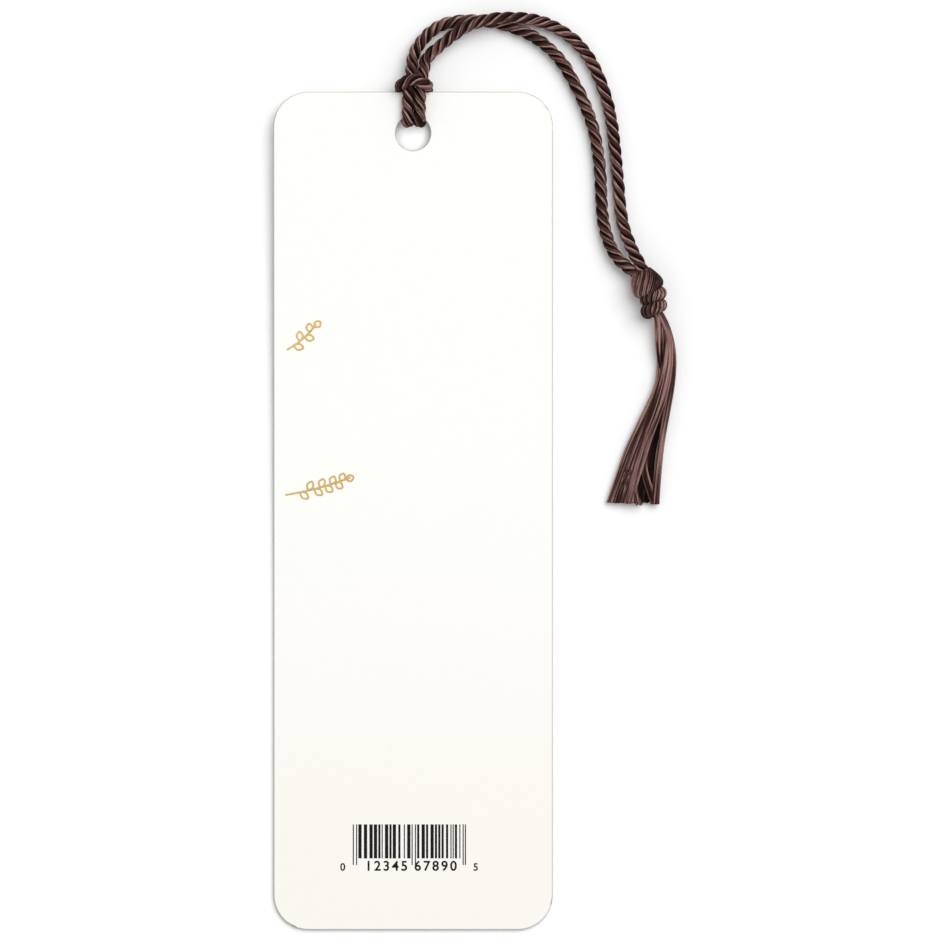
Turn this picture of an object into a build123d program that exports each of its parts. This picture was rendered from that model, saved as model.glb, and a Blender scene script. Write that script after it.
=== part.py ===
from build123d import *
import os
from math import cos, degrees, hypot, pi, radians, sin, sqrt, tan

# Card bookmark lying on a table, with a cord hitched through its hole and a floss tassel.
# Millimetres and degrees: X runs across the card, Y along it towards the hole, Z up from the table.
# The origin is on the table, under the middle of the card.

# Card: flat at its foot, bowed gently up to the hitch that lifts its head
card_length = 152.4
card_width = 50.8
card_thickness = 0.4
corner_radius = 6.35
hole_diameter = 6.35
hole_inset = 7.5
flat_length = 45.0
bow_length = 60.0

# Cord: its free size, its size where the hitch pulls it tight, its facets and its clearances
cord_diameter = 1.9
tight_diameter = 1.8
cord_sides = 8
cord_gap = 0.05
table_gap = 0.02

# Hitch: front runs, turns through the hole, back runs, and a bight over the front runs
front_middle = 0.15
front_gap = 0.1
front_overhang = 0.6
bight_middle = 0.35
bight_gap = 0.08
bight_lean = 20.0
edge_gap = 0.3
edge_round = 0.25
turn_share = 0.98

# Exits of the hitch, where the two legs begin, from the middle of the top edge
exit_middle = 0.72
exit_gap = 0.2
exit_rise = 4.2
exit_run = 0.9
exit_height = 2.05

# Knot: a floss head over a core, with the cord wound round the core below the head
knot_top = (41.9, -32.6)
knot_lean = 15.7
head_length = 5.2
head_overhang = 1.0
head_shoulder = 1.7
head_bulge = 2.75
head_bulge_depth = 1.9
head_foot = 2.25
core_radius = 0.95
core_inset = 0.2
winding_diameter = 1.5
winding_gap = 0.5
winding_seat = 0.15
winding_passes = 3

# Flat entry on the knot's head, where the two legs end side by side
entry_offset = (-0.3, -0.15)
entry_turn = 38.3
entry_middle = 0.1
entry_height = 2.45
entry_gap = 0.1
entry_tilt = 26.6
entry_run = 2.1

# Legs: heights of the centre line on the table and over the crossing
lying = cord_diameter / 2 + table_gap
crossing_gap = 0.28
crossing = lying + cord_diameter + crossing_gap

# Skirt: stations down from the knot, each with its outlines to left and right of the core's tip,
# its lift off the table and the thickness of one layer of floss
skirt_stations = [
    (0.0, -0.54, 1.56, 1.35, 1.30),
    (2.6, -0.14, 2.96, 0.75, 1.25),
    (7.0, 0.16, 3.86, 0.15, 1.20),
    (13.0, -0.44, 3.56, 0.05, 1.15),
    (19.8, -3.44, 2.56, 0.05, 1.10),
    (26.9, -6.74, 1.36, 0.05, 1.05),
    (33.2, -8.54, 0.96, 0.05, 1.00),
]
lower_locks = 4
upper_locks = 3
upper_inset = 0.12
lock_gap = 0.14
crown_share = 0.35
lock_ends = [0.3, -0.4, 0.5, -0.2, -0.5, 0.2, -0.3]

# Steps along a winding at which its gap to itself is measured
gap_steps = 240

os.makedirs("parts", exist_ok=True)


def widest_arcs(route, share=0.45):
    """Largest tangent arc at each inner point of a route, from its shorter run and its turn."""
    radii = []
    for before, at, after in zip(route, route[1:], route[2:]):
        half_turn = radians((at - before).get_angle(after - at)) / 2
        radii.append(share * min((at - before).length, (after - at).length) / tan(half_turn))
    return radii


def report_tube(name, tube, path, section, radii):
    """Print a tube's length, its arcs, and its volume beside its section times its length."""
    length = path.wire().length
    plain = section.sketch.area * length
    print(f"{name}: length {length:.1f}, volume {tube.part.volume:.2f} of {plain:.2f}")
    print("  radii", [round(radius, 2) for radius in radii])


def keep(piece, name):
    """Label a finished piece and write it."""
    piece.part.label = name
    export_step(piece.part, f"parts/{name}.step")


# Bow of the card: the back runs of the hitch lie between the table and its head
hole_radius = hole_diameter / 2
front_spacing = tight_diameter + front_gap
turn_inset = hole_inset - sqrt(hole_radius**2 - (front_spacing / 2) ** 2)
seat_height = tight_diameter + cord_gap + table_gap
seat_run = card_length - turn_inset - flat_length
bow_angle = seat_height / (seat_run - bow_length / 2)
bow_radius = bow_length / bow_angle
head_run = card_length - flat_length - bow_length
reach = flat_length + bow_radius * sin(bow_angle) + head_run * cos(bow_angle)
rise = bow_radius * (1 - cos(bow_angle)) + head_run * sin(bow_angle)
top_edge = Vector(0, reach / 2, rise)
head_plane = Plane(top_edge, x_dir=(1, 0, 0), z_dir=(0, -sin(bow_angle), cos(bow_angle)))

with BuildPart() as card:
    with BuildSketch(Plane.YZ):
        with BuildLine():
            foot = Line((-reach / 2, 0), (flat_length - reach / 2, 0))
            bow = JernArc(foot @ 1, foot % 1, radius=bow_radius, arc_size=degrees(bow_angle))
            Line(bow @ 1, (bow @ 1) + (bow % 1) * head_run)
            offset(amount=card_thickness, side=Side.LEFT)
        make_face()
    extrude(amount=card_width / 2, both=True)
    ends = card.faces().filter_by(lambda face: face.area < card_width * card_thickness * 1.5)
    fillet(ends.edges().filter_by(lambda edge: edge.length < card_thickness * 1.5), corner_radius)
    with Locations(head_plane.offset(card_thickness)):
        with Locations((0, -hole_inset)):
            Hole(hole_radius)
keep(card, "card")


def from_head(across, along, height):
    """A place given from the middle of the card's top edge, in the plane of its head."""
    return head_plane.from_local_coords(Vector(across, along, height))


def from_edge(across, along, height):
    """A place given across and along from the middle of the top edge, at a height over the table."""
    return Vector(across, top_edge.Y + along, height)


# Hitch: one unbroken tube from one exit, through the hole, over the top edge and back
tight_radius = tight_diameter / 2
front_height = card_thickness + cord_gap + tight_radius
back_height = -cord_gap - tight_radius
hole_turn = (front_height - back_height) / 2
edge_turn = tight_radius + edge_round
lean = radians(bight_lean)
bight_spacing = front_spacing + 2 * (tight_diameter + bight_gap)
exit_spacing = cord_diameter + exit_gap
edge_clearance = tight_radius / cos(lean) + edge_gap - (card_thickness / 2 - back_height) * tan(lean)

# The bight rests on the front runs, which slope from the top edge down to the exits
slope = (top_edge.Z + front_height - exit_height) / (exit_rise - exit_run - front_overhang)
over_front = front_height + (tight_diameter + cord_gap) * hypot(1, slope)
lean_back = front_overhang - edge_clearance + back_height * tan(lean)
bight_height = (over_front + slope * lean_back) / (1 + slope * tan(lean))
bight_rise = edge_clearance + (bight_height - back_height) * tan(lean)


def hitch_half(side):
    """Corners of one half of the hitch, from its exit to the corner of the bight."""
    out = exit_middle + side * exit_spacing / 2
    front = front_middle + side * front_spacing / 2
    back = bight_middle + side * bight_spacing / 2
    turn = -turn_inset - hole_turn
    return [
        from_edge(out, exit_rise, exit_height),
        from_edge(out, exit_rise - exit_run, exit_height),
        from_head(front, front_overhang, front_height),
        from_head(front, turn, front_height),
        from_head(front, turn, back_height),
        from_head(back, edge_clearance, back_height),
        from_head(back, bight_rise, bight_height),
    ]


hitch_route = hitch_half(-1) + hitch_half(1)[::-1]
hitch_arcs = widest_arcs(hitch_route)
tight_arcs = [hole_turn * turn_share, hole_turn * turn_share, edge_turn, tight_diameter]
hitch_arcs[2:-2] = tight_arcs + tight_arcs[::-1]

with BuildPart() as hitch_cord:
    with BuildLine() as hitch_path:
        FilletPolyline(*hitch_route, radius=hitch_arcs)
    with BuildSketch(Plane(hitch_path.line @ 0, z_dir=hitch_path.line % 0)) as hitch_section:
        RegularPolygon(tight_radius, cord_sides)
    sweep()
report_tube("hitch_cord", hitch_cord, hitch_path, hitch_section, hitch_arcs)
keep(hitch_cord, "hitch_cord")

# Legs: from the exits of the hitch to the flat entry on the knot's head
entry_along = Vector(sin(radians(entry_turn)), -cos(radians(entry_turn)), 0)
entry_across = Vector(cos(radians(entry_turn)), sin(radians(entry_turn)), 0)
entry_point = (knot_top[0] + entry_offset[0], knot_top[1] + entry_offset[1])


def at_entry(side, back=0.0):
    """A place on the knot's entry for one of the legs, or so far back from it along the cord."""
    half = side * (cord_diameter + entry_gap) / 2
    place = from_edge(*entry_point, entry_height + half * sin(radians(entry_tilt)))
    return place + entry_across * (entry_middle + half * cos(radians(entry_tilt))) - entry_along * back


inner_route = [
    from_edge(exit_middle - exit_spacing / 2, exit_rise, exit_height),
    from_edge(exit_middle - exit_spacing / 2, 6.9, exit_height),
    from_edge(1.0, 9.8, 1.6),
    from_edge(3.9, 12.0, 1.15),
    from_edge(7.9, 13.3, lying),
    from_edge(12.7, 13.3, lying),
    from_edge(17.8, 12.0, lying),
    from_edge(22.8, 9.8, lying),
    from_edge(27.1, 6.0, lying),
    from_edge(30.3, 1.0, lying),
    from_edge(32.5, -4.8, lying),
    from_edge(33.8, -11.0, lying),
    from_edge(34.3, -17.2, lying),
    from_edge(34.6, -22.6, lying),
    from_edge(36.1, -27.4, 1.25),
    at_entry(-1, entry_run),
    at_entry(-1),
]
outer_route = [
    from_edge(exit_middle + exit_spacing / 2, exit_rise, exit_height),
    from_edge(exit_middle + exit_spacing / 2, 6.0, exit_height),
    from_edge(3.3, 8.0, 2.1),
    from_edge(6.2, 10.1, 2.4),
    from_edge(10.2, 11.8, crossing),
    from_edge(14.6, 13.2, crossing),
    from_edge(19.0, 13.8, 2.2),
    from_edge(23.6, 12.9, 1.1),
    from_edge(28.2, 10.6, lying),
    from_edge(32.0, 6.8, lying),
    from_edge(34.6, 1.4, lying),
    from_edge(36.1, -4.8, lying),
    from_edge(36.9, -11.4, lying),
    from_edge(37.3, -17.8, lying),
    from_edge(38.3, -23.4, 1.15),
    from_edge(39.8, -27.8, 2.2),
    at_entry(1, entry_run),
    at_entry(1),
]

with BuildPart() as inner_leg:
    with BuildLine() as inner_path:
        FilletPolyline(*inner_route, radius=widest_arcs(inner_route))
    with BuildSketch(Plane(inner_path.line @ 0, z_dir=inner_path.line % 0)) as inner_section:
        RegularPolygon(cord_diameter / 2, cord_sides)
    sweep()
report_tube("inner_leg", inner_leg, inner_path, inner_section, widest_arcs(inner_route))
keep(inner_leg, "inner_leg")

with BuildPart() as outer_leg:
    with BuildLine() as outer_path:
        FilletPolyline(*outer_route, radius=widest_arcs(outer_route))
    with BuildSketch(Plane(outer_path.line @ 0, z_dir=outer_path.line % 0)) as outer_section:
        RegularPolygon(cord_diameter / 2, cord_sides)
    sweep()
report_tube("outer_leg", outer_leg, outer_path, outer_section, widest_arcs(outer_route))
keep(outer_leg, "outer_leg")

# Knot: on a plane whose X runs down the knot's axis and whose Y runs across it
axis_height = head_bulge + table_gap
axis_along = (sin(radians(knot_lean)), -cos(radians(knot_lean)), 0)
knot_plane = Plane(from_edge(*knot_top, axis_height), x_dir=axis_along, z_dir=(0, 0, 1))
knot_axis = Axis(knot_plane.origin, knot_plane.x_dir)
head_end = head_length - head_overhang

with BuildPart() as knot_head:
    with BuildSketch(knot_plane):
        with BuildLine():
            bulge = ThreePointArc(
                (-head_overhang, head_shoulder),
                (head_bulge_depth, head_bulge),
                (head_end, head_foot),
            )
            Polyline(bulge @ 1, (head_end, 0), (-head_overhang, 0), bulge @ 0)
        make_face()
    revolve(axis=knot_axis)
    split(bisect_by=Plane(from_edge(*entry_point, axis_height), z_dir=entry_along), keep=Keep.TOP)
keep(knot_head, "knot_head")

# Core and winding: half turns of cord, over the core from left to right and back under it
winding_radius = core_radius + cord_gap + winding_diameter / 2
half_pitch = (winding_diameter + winding_gap) / 2
winding_foot = head_end + winding_seat + winding_diameter / 2 + half_pitch * winding_passes
core_end = winding_foot - core_inset

with BuildPart() as knot_core:
    with BuildSketch(knot_plane):
        with BuildLine():
            tip = CenterArc((core_end, 0), core_radius, 0, 90)
            Polyline(tip @ 1, (head_end, core_radius), (head_end, 0), tip @ 0)
        make_face()
    revolve(axis=knot_axis)
keep(knot_core, "knot_core")


def on_winding(half_turns):
    """A place on the winding, by the half turns made from the lower left of the core."""
    angle = pi * half_turns
    along = winding_foot - half_pitch * half_turns
    spot = Vector(along, -winding_radius * cos(angle), winding_radius * sin(angle))
    return knot_plane.from_local_coords(spot)


with BuildPart() as knot_winding:
    with BuildLine() as winding_path:
        halves = []
        for turn in range(winding_passes):
            places = [on_winding(turn + part) for part in (0, 0.5, 1)]
            halves.append(ThreePointArc(*places))
        first, last = halves[0], halves[-1]
        Line((first @ 0) - (first % 0) * winding_diameter, first @ 0)
        Line(last @ 1, (last @ 1) + (last % 1) * winding_diameter)
    wound = winding_path.wire()
    with BuildSketch(Plane(wound @ 0, z_dir=wound % 0)) as winding_section:
        RegularPolygon(winding_diameter / 2, cord_sides)
    sweep(path=wound)
spots = [wound @ (step / gap_steps) for step in range(gap_steps + 1)]
near_steps = round(gap_steps * pi * winding_radius / wound.length)
least = min((a - b).length for i, a in enumerate(spots) for b in spots[i + near_steps:])
print(f"knot_winding: least gap to itself {least - winding_diameter:.2f}")
report_tube("knot_winding", knot_winding, winding_path, winding_section, [winding_radius])
keep(knot_winding, "knot_winding")

# Skirt: locks of floss in two layers, each a ruled loft of sections down the stations
core_tip = knot_plane.from_local_coords(Vector(core_end, 0, 0))
skirt_root = core_tip.Y - core_radius - lock_gap
lower_share = 1 / lower_locks
upper_share = (1 - 2 * upper_inset) / upper_locks
lock_places = [(index * lower_share, lower_share, 0) for index in range(lower_locks)]
lock_places += [(upper_inset + index * upper_share, upper_share, 1) for index in range(upper_locks)]


def stretched(stations, more):
    """The stations, with the last one moved on by so much along the last stretch."""
    before, last = stations[-2:]
    share = more / (last[0] - before[0])
    moved = [end + (end - start) * share for start, end in zip(before, last)]
    return stations[:-1] + [moved]


for number, (near, share, layer) in enumerate(lock_places, start=1):
    with BuildPart() as lock:
        for down, left, right, lift, thick in stretched(skirt_stations, lock_ends[number - 1]):
            width = (right - left) * share - lock_gap
            height = thick - lock_gap
            across = core_tip.X + left + (right - left) * (near + share / 2)
            with BuildSketch(Plane.XZ.offset(down - skirt_root)) as lock_section:
                with Locations((across, lift + thick * (layer + 0.5))):
                    Rectangle(width, height)
                chamfer(lock_section.vertices(), crown_share * min(width, height))
        loft(ruled=True)
    keep(lock, f"floss_lock_{number}")
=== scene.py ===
from math import cos, radians, sin, tau

import bmesh
import bpy
from bpy.props import FloatProperty, FloatVectorProperty, IntProperty, PointerProperty
from bpy.types import Operator, Panel, PropertyGroup
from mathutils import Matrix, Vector
from mathutils.bvhtree import BVHTree


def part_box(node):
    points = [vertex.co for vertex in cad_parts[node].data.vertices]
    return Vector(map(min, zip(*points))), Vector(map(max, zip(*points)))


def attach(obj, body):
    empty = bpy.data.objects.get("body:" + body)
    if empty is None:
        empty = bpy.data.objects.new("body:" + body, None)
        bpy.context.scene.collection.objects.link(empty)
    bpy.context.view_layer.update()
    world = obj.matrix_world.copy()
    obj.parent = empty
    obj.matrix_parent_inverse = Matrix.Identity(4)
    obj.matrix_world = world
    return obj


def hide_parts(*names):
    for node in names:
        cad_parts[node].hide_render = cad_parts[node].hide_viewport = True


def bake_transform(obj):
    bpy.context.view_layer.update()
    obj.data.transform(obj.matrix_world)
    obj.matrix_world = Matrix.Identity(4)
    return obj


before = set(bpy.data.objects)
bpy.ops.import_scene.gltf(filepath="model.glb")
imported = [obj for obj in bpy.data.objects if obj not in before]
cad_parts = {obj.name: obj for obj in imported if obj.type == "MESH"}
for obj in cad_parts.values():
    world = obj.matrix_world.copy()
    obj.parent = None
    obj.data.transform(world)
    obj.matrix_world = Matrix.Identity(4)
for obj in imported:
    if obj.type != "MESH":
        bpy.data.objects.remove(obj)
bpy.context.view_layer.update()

bl_info = {
    "name": "Tasselled Bookmark",
    "version": (1, 0, 0),
    "blender": (4, 5, 0),
    "location": "3D View > Sidebar > Bookmark",
    "description": "Paper, print, twisted cord and floss tassel of a card bookmark",
    "category": "Object",
}

# Sizes below are millimetres in the frame of the card, as in the part's source
MM = 0.001
CARD_THICKNESS = 0.4
HEAD_TILT = radians(1.47)
TOP_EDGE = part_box("card")[1].y / MM
HEAD_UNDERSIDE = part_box("card")[1].z / MM - CARD_THICKNESS * cos(HEAD_TILT)
HOLE_INSET = 7.5
HOLE_RADIUS = 3.175

# Centre line heights of a leg on the table and over the crossing
LYING = 0.97
CROSSING = 2.95

# Cord: its plies, and its legs across and along from the middle of the top edge and over the table
PLIES = 3
INNER_ROUTE = [
    (-0.25, 4.2, 2.05),
    (-0.05, 6.6, 2.05),
    (1.55, 9.45, 1.6),
    (4.4, 12.05, 1.15),
    (7.9, 13.0, LYING),
    (12.7, 13.1, LYING),
    (17.8, 12.0, LYING),
    (22.8, 9.8, LYING),
    (27.0, 5.8, LYING),
    (29.8, 0.8, LYING),
    (32.4, -4.8, LYING),
    (33.7, -11.0, LYING),
    (34.2, -17.2, LYING),
    (34.3, -22.6, LYING),
    (35.4, -27.2, 1.25),
    (37.2, -30.5, 1.7),
    (39.3, -32.1, 2.0),
    (41.6, -34.0, 2.3),
]
OUTER_ROUTE = [
    (1.95, 4.2, 2.05),
    (2.25, 6.0, 2.05),
    (4.05, 7.65, 2.1),
    (6.65, 9.8, 2.3),
    (10.1, 12.15, CROSSING),
    (14.5, 13.3, CROSSING),
    (19.0, 13.5, 2.2),
    (23.6, 12.9, 1.1),
    (28.2, 10.6, LYING),
    (31.9, 6.7, LYING),
    (34.5, 1.2, LYING),
    (36.1, -4.8, LYING),
    (36.8, -11.4, LYING),
    (37.4, -17.8, LYING),
    (37.9, -23.6, 1.15),
    (39.4, -28.0, 2.2),
    (40.8, -30.7, 2.9),
    (42.3, -33.4, 2.8),
]

# Hitch, one side of two: its inner or outer run, along from the top edge, height over the underside
HITCH_MIDDLES = (0.15, 0.15)
HITCH_SIDES = (1.06, 2.35)
HITCH_RUN = [
    (0, 0.6, 1.50),
    (0, -3.2, 1.52),
    (0, -5.5, 1.50),
    (0, -5.5, -0.98),
    (1, -3.2, -0.95),
    (1, 0.35, -0.95),
    (1, 1.05, 0.5),
    (1, 1.2, 2.6),
]
BIGHT_MIDDLE = (2.45, 3.2)

# Knot: its axis runs down from its top, leaning to the right, and its head leans further
KNOT_TOP = (41.9, -32.6, 2.77)
KNOT_LEAN = radians(15.7)
HEAD_LEAN = radians(14.0)
HEAD_MIDDLE = (2.45, -0.15)
HEAD_MERIDIAN = [
    (-2.5, 1.2), (-2.55, 1.85), (-1.9, 2.2), (-0.9, 2.6), (0.2, 2.95), (1.0, 2.85), (1.6, 2.4), (1.8, 1.5),
]
CORE_MERIDIAN = [(1.8, 0.9), (3.8, 0.92), (5.5, 0.86), (6.1, 0.5)]

# Winding: passes seen in front of an axis that is nearly upright in the picture
WINDING_MIDDLE = (43.65, -38.25, 2.77)
WINDING_LEAN = radians(2.5)
WINDING_RADIUS = 1.3
WINDING_STEP = 1.08
WINDING_PASSES = 3
POINTS_PER_PASS = 8

# Skirt bundles: strands and tone, painted shade for the darkest, then across and along from the card's
# middle, height, width, thickness
SKIRT_BUNDLES = [
    (110, -0.10, [(43.9, 37.2, 2.7, 0.8, 0.9), (44.7, 35.0, 2.3, 1.7, 1.0), (44.75, 33.0, 2.0, 1.8, 1.2),
                  (44.8, 29.6, 1.7, 1.4, 1.1), (45.05, 25.8, 1.1, 0.5, 0.9), (45.4, 22.0, 0.8, 0.5, 0.8),
                  (44.9, 16.0, 0.6, 0.7, 0.7)]),
    (115, -0.05, [(44.1, 37.4, 2.7, 0.7, 0.9), (45.5, 35.2, 2.4, 0.9, 1.0), (46.7, 32.0, 2.0, 1.0, 1.3),
                  (47.4, 28.0, 1.6, 1.1, 1.4), (47.1, 23.5, 1.4, 1.1, 1.3), (46.0, 17.5, 1.2, 1.2, 1.2),
                  (44.7, 10.0, 1.0, 1.0, 1.0), (44.0, 1.4, 0.8, 1.6, 0.8)]),
    (115, 0.20, [(44.0, 37.3, 2.8, 0.7, 0.9), (45.3, 35.0, 2.6, 0.9, 1.0), (46.6, 32.0, 2.3, 0.9, 1.3),
                 (46.8, 28.0, 2.0, 1.2, 1.4), (46.1, 23.5, 1.8, 1.5, 1.4), (44.4, 17.5, 1.6, 1.5, 1.3),
                 (41.6, 10.5, 1.3, 1.4, 1.2), (39.3, 1.5, 1.1, 1.6, 1.0)]),
    (130, 0.10, [(44.0, 37.2, 2.7, 0.7, 0.9), (45.1, 34.9, 2.4, 0.9, 1.0), (46.5, 32.0, 2.0, 0.9, 1.2),
                 (46.2, 28.0, 1.7, 1.2, 1.3), (45.1, 23.0, 1.4, 1.6, 1.3), (43.1, 17.0, 1.2, 1.7, 1.3),
                 (40.1, 10.0, 1.0, 1.7, 1.2), (37.6, 1.6, 0.8, 2.0, 1.0)]),
    (115, 0.20, [(44.0, 37.2, 2.6, 0.7, 0.9), (44.6, 34.6, 1.7, 0.9, 0.9), (44.9, 31.0, 0.8, 1.0, 0.9),
                 (44.95, 27.0, 0.9, 1.1, 1.0), (44.7, 23.0, 1.1, 1.3, 1.1), (43.2, 19.3, 1.0, 1.5, 1.0),
                 (40.4, 13.6, 0.8, 1.6, 0.9), (38.6, 9.2, 0.7, 1.7, 0.9), (36.1, 1.7, 0.6, 1.8, 0.8)]),
    # The lowest bundle is nearly black: painted shade for the dark hollow between the locks
    (100, -0.75, [(44.0, 37.0, 2.5, 0.8, 0.8), (44.9, 34.8, 1.9, 1.0, 0.8), (45.6, 31.5, 1.2, 1.4, 0.9),
                  (45.7, 26.5, 0.8, 1.6, 0.9), (45.0, 20.0, 0.6, 1.9, 0.7), (44.0, 15.0, 0.5, 2.2, 0.6),
                  (42.9, 10.0, 0.45, 1.9, 0.5), (41.7, 1.6, 0.4, 3.3, 0.4)]),
    (48, 0.02, [(44.6, 20.0, 0.7, 0.5, 0.4), (43.0, 13.0, 0.7, 0.5, 0.4), (41.9, 8.8, 0.8, 0.8, 0.5),
                (42.3, 5.8, 0.9, 1.2, 0.5), (43.3, 2.8, 0.9, 1.2, 0.5), (43.8, 1.5, 0.9, 1.2, 0.5)]),
    (40, 0.10, [(44.4, 19.0, 0.7, 0.5, 0.4), (42.4, 10.5, 0.8, 0.6, 0.5), (40.8, 5.8, 1.2, 0.6, 0.5),
                (40.3, 3.4, 1.5, 0.8, 0.5), (41.1, 1.2, 1.4, 1.4, 0.5)]),
]

# Looks: how strongly fibres show on the cord and on the floss, and what white is
CORD_BUMP = 0.35
FLOSS_BUMP = 0.25
WHITE = (1.0, 1.0, 1.0, 1.0)


def length_setting(name, description, default):
    """A setting that is a length, with its default in millimetres."""
    return FloatProperty(name=name, description=description, unit="LENGTH", default=default * MM)


def colour_setting(name, description, *default):
    """A setting that is a colour, with its default as red, green and blue."""
    return FloatVectorProperty(
        name=name, description=description, subtype="COLOR", size=4, default=(*default, 1.0),
    )


class BookmarkCardSettings(PropertyGroup):
    paper_colour: colour_setting("Paper", "Colour of the coated face", 0.94, 0.945, 0.905)
    # Painted shade: the face fades to this darker, warmer colour towards the foot
    shaded_foot_colour: colour_setting("Foot", "Warmer colour of the face towards the foot", 0.915, 0.885, 0.835)
    edge_round: length_setting("Edge Round", "Rounding of the die-cut edge", 0.17)
    # Grey of the cut edge: partly the bare card, partly painted shade
    edge_colour: colour_setting("Cut Edge", "Colour of the cut edge", 0.46, 0.45, 0.43)


class BookmarkPrintSettings(PropertyGroup):
    ink_colour: colour_setting("Black Ink", "Colour of the bars and digits", 0.0035, 0.005, 0.004)
    gold_colour: colour_setting("Gold Ink", "Colour of the two sprigs", 0.66, 0.42, 0.12)
    film: length_setting("Ink Film", "Height of the ink over the paper", 0.012)
    bars: IntProperty(name="Bars", description="Number of bars in the bar pattern", default=30)
    bar_seed: IntProperty(name="Bar Seed", description="Seed of the bar pattern", default=11)


class BookmarkCordSettings(PropertyGroup):
    diameter: length_setting("Diameter", "Diameter of the twisted cord", 1.9)
    fullness: FloatProperty(
        name="Fullness", description="How far the soft plies swell past the measured diameter", default=1.22,
    )
    lead: length_setting("Lead", "Length of one turn of the twist", 6.9)
    step: length_setting("Step", "Distance between points along the cord", 0.36)
    looseness: length_setting("Looseness", "How far plies and strands wander", 0.18)
    seed: IntProperty(name="Seed", description="Seed of the cord", default=3)
    winding_diameter: length_setting("Wound Diameter", "Diameter of the cord in the knot's winding", 2.45)
    winding_lead: length_setting("Wound Lead", "Length of one turn of the twist in the winding", 1.65)
    winding_step: length_setting("Wound Step", "Distance between points along the winding", 0.12)
    winding_looseness: length_setting("Wound Looseness", "How far strands wander in the winding", 0.07)
    # Strength of the painted groove shade and painted flank highlight on the winding
    winding_painted_light: FloatProperty(name="Wound Relief", description="Depth of its tones", default=1.8)
    winding_seed: IntProperty(name="Wound Seed", description="Seed of the winding", default=9)
    floss_per_ply: IntProperty(name="Floss per Ply", description="Strands on each of the plies", default=20)
    dark_colour: colour_setting("Dark", "Darkest strands", 0.006, 0.0022, 0.0016)
    mid_colour: colour_setting("Middle", "Common strands", 0.08, 0.037, 0.031)
    light_colour: colour_setting("Light", "Lightest strands", 0.42, 0.245, 0.218)


class BookmarkTasselSettings(PropertyGroup):
    strand_diameter: length_setting("Strand", "Diameter of a strand of floss", 0.17)
    head_strands: IntProperty(name="Head Strands", description="Strands over the knot's head", default=140)
    head_looseness: length_setting("Head Looseness", "How far strands wander on the knot", 0.12)
    waviness: length_setting("Waviness", "How far strands wave in the skirt", 0.5)
    uneven_ends: length_setting("Uneven Ends", "How far the cut ends differ", 0.2)
    points: IntProperty(name="Points", description="Points along a strand of the skirt", default=31)
    seed: IntProperty(name="Seed", description="Seed of the floss", default=5)


class BookmarkStageSettings(PropertyGroup):
    view_width: length_setting("View Width", "Width of the camera's view on the table", 172.9)
    view_middle: FloatVectorProperty(
        name="View Middle", description="Point on the table under the camera", size=2, unit="LENGTH",
        default=(11.24 * MM, 6.56 * MM),
    )
    lens: FloatProperty(name="Lens", description="Focal length in millimetres", default=250.0)
    key_place: FloatVectorProperty(
        name="Key Place", description="Where the key light hangs", unit="LENGTH", default=(1.68, 1.90, 4.31),
    )
    key_size: length_setting("Key Size", "Width of the key light", 4400.0)
    key_power: FloatProperty(name="Key Power", description="Power of the key light in watts", default=184.0)
    sky: FloatProperty(name="Sky", description="Strength of the light from all round", default=0.515)


class Field:
    """A number or a vector in a node tree, reckoned with by Math and Vector Math nodes."""

    def __init__(self, socket):
        self.socket = socket
        self.tree = socket.id_data
        self.is_vector = socket.type in {"VECTOR", "RGBA"}

    def calc(self, operation, *others):
        """What a Math node, or for a vector a Vector Math node, makes of this and others."""
        kind = "ShaderNodeVectorMath" if self.is_vector else "ShaderNodeMath"
        return output(self.tree, kind, dict(enumerate((self, *others))), operation=operation)

    def measure(self, operation, *others):
        """The number that a Vector Math node makes of this vector and others."""
        inputs = dict(enumerate((self, *others)))
        return output(self.tree, "ShaderNodeVectorMath", inputs, "Value", operation=operation)

    def __add__(self, other):
        return self.calc("ADD", other)

    def __sub__(self, other):
        return self.calc("SUBTRACT", other)

    def __mul__(self, other):
        if self.is_vector and not getattr(other, "is_vector", False):
            return output(self.tree, "ShaderNodeVectorMath", {0: self, "Scale": other}, operation="SCALE")
        return self.calc("MULTIPLY", other)

    def __truediv__(self, other):
        return self.calc("DIVIDE", other)

    def __rtruediv__(self, other):
        return output(self.tree, "ShaderNodeMath", {0: other, 1: self}, operation="DIVIDE")


def set_inputs(node, inputs):
    """Link or set a node's inputs, given by name or number."""
    for key, value in inputs.items():
        if isinstance(value, Field):
            node.id_data.links.new(value.socket, node.inputs[key])
        else:
            node.inputs[key].default_value = value


def add_node(tree, kind, inputs=None, **options):
    """Add a node, set its options, and link or set its inputs."""
    node = tree.nodes.new(kind)
    for option, value in options.items():
        setattr(node, option, value)
    set_inputs(node, inputs or {})
    return node


def output(tree, kind, inputs=None, out=0, **options):
    """One output, by name or number, of a new node."""
    return Field(add_node(tree, kind, inputs, **options).outputs[out])


def fields(node):
    """A node's outputs by their names."""
    return {socket.name: Field(socket) for socket in node.outputs if socket.name}


def chance(low, high, key, seed):
    """A random number between two, fixed by a key and a seed."""
    inputs = {2: low, 3: high, 7: key, 8: seed}
    return output(key.tree, "FunctionNodeRandomValue", inputs, 1, data_type="FLOAT")


def ramp(value, start, end, low=0.0, high=1.0):
    """A smooth step of a value from one number to another."""
    inputs = dict(enumerate((value, start, end, low, high)))
    return output(value.tree, "ShaderNodeMapRange", inputs, interpolation_type="SMOOTHSTEP")


def noise(place, scale, key=None, detail=2.0, out="Fac"):
    """Noise over places, different for every key where there is one."""
    inputs = {"Vector": place, "Scale": scale, "Detail": detail}
    if key is None:
        return output(place.tree, "ShaderNodeTexNoise", inputs, out)
    return output(place.tree, "ShaderNodeTexNoise", {**inputs, "W": key}, out, noise_dimensions="4D")


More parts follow.
